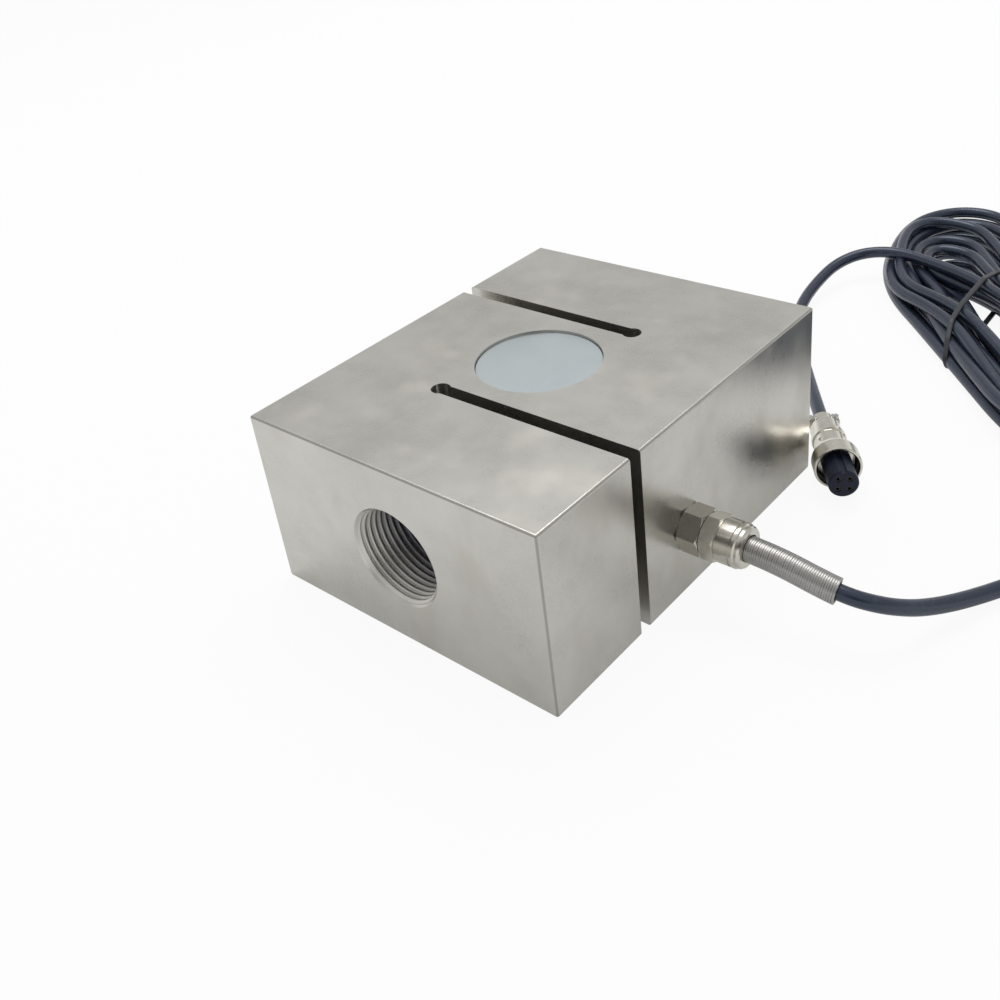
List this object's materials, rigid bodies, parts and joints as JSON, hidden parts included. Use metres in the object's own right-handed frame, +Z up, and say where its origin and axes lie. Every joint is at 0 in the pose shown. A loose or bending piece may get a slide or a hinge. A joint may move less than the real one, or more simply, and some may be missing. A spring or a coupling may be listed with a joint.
{
  "type": "s-type load cell",
  "caption": "S-shaped steel force transducer with a threaded hole in each end, sealed gauge recesses, a side cable gland and a coiled cable ending in a screw-locked plug.",
  "frame": {"origin": "middle of the block's bottom face, on the surface that it lies on", "axes": "+Z up; +Y along the load axis from the front thread to the rear thread; +X out of the side with the cable gland"},
  "size_m": [0.21, 0.344, 0.058],
  "materials": {
    "block_nickel": "satin nickel plate on alloy steel",
    "cover_steel": "satin stainless disc",
    "potting": "soft sealing compound",
    "gauge_foil": "polyimide-backed foil",
    "board": "glass-fibre board",
    "chip": "resistor body",
    "copper_wire": "enamelled copper",
    "core_insulation": "insulated core",
    "gland_nickel": "nickel-plated brass",
    "seal_rubber": "nitrile rubber",
    "spring_steel": "close-wound stainless wire",
    "cable_jacket": "smooth PVC jacket",
    "cable_hank": "smooth PVC jacket, coiled",
    "tie_plastic": "plastic-coated wire tie",
    "plug_nickel": "nickel-plated brass",
    "screw_steel": "plated steel",
    "insert_plastic": "black insulator",
    "contact_brass": "plated contact"
  },
  "bodies": {
    "sensor": {"s_body": "block_nickel", "top_cover_disc": "cover_steel", "bottom_cover_disc": "cover_steel", "top_potting": "potting", "bottom_potting": "potting", "top_strain_gauges": "gauge_foil", "bottom_strain_gauges": "gauge_foil", "compensation_board": "board", "board_resistors": "chip", "gauge_lead_wires": "copper_wire", "core_wires": "core_insulation", "gland_body": "gland_nickel", "gland_seal_ring": "seal_rubber", "gland_nut": "gland_nickel", "gland_grommet": "seal_rubber", "strain_relief_spring": "spring_steel", "signal_cable": "cable_jacket", "cable_hank": "cable_hank", "hank_tie": "tie_plastic", "cable_tail": "cable_jacket", "plug_shell": "plug_nickel", "plug_cable_strap": "plug_nickel", "plug_clamp_screws": "screw_steel", "plug_set_screw": "screw_steel", "plug_insert": "insert_plastic", "plug_contacts": "contact_brass", "plug_core_wires": "core_insulation"},
    "coupling_nut": {"plug_coupling_nut": "plug_nickel"}
  },
  "joints": [
    {"name": "coupling_nut_spin", "type": "hinge", "parent": "sensor", "child": "coupling_nut", "pos_m": [0.06614, 0.06007, 0.00772], "axis": [0.5916, -0.8054, 0.0366], "continuous": true}
  ]
}
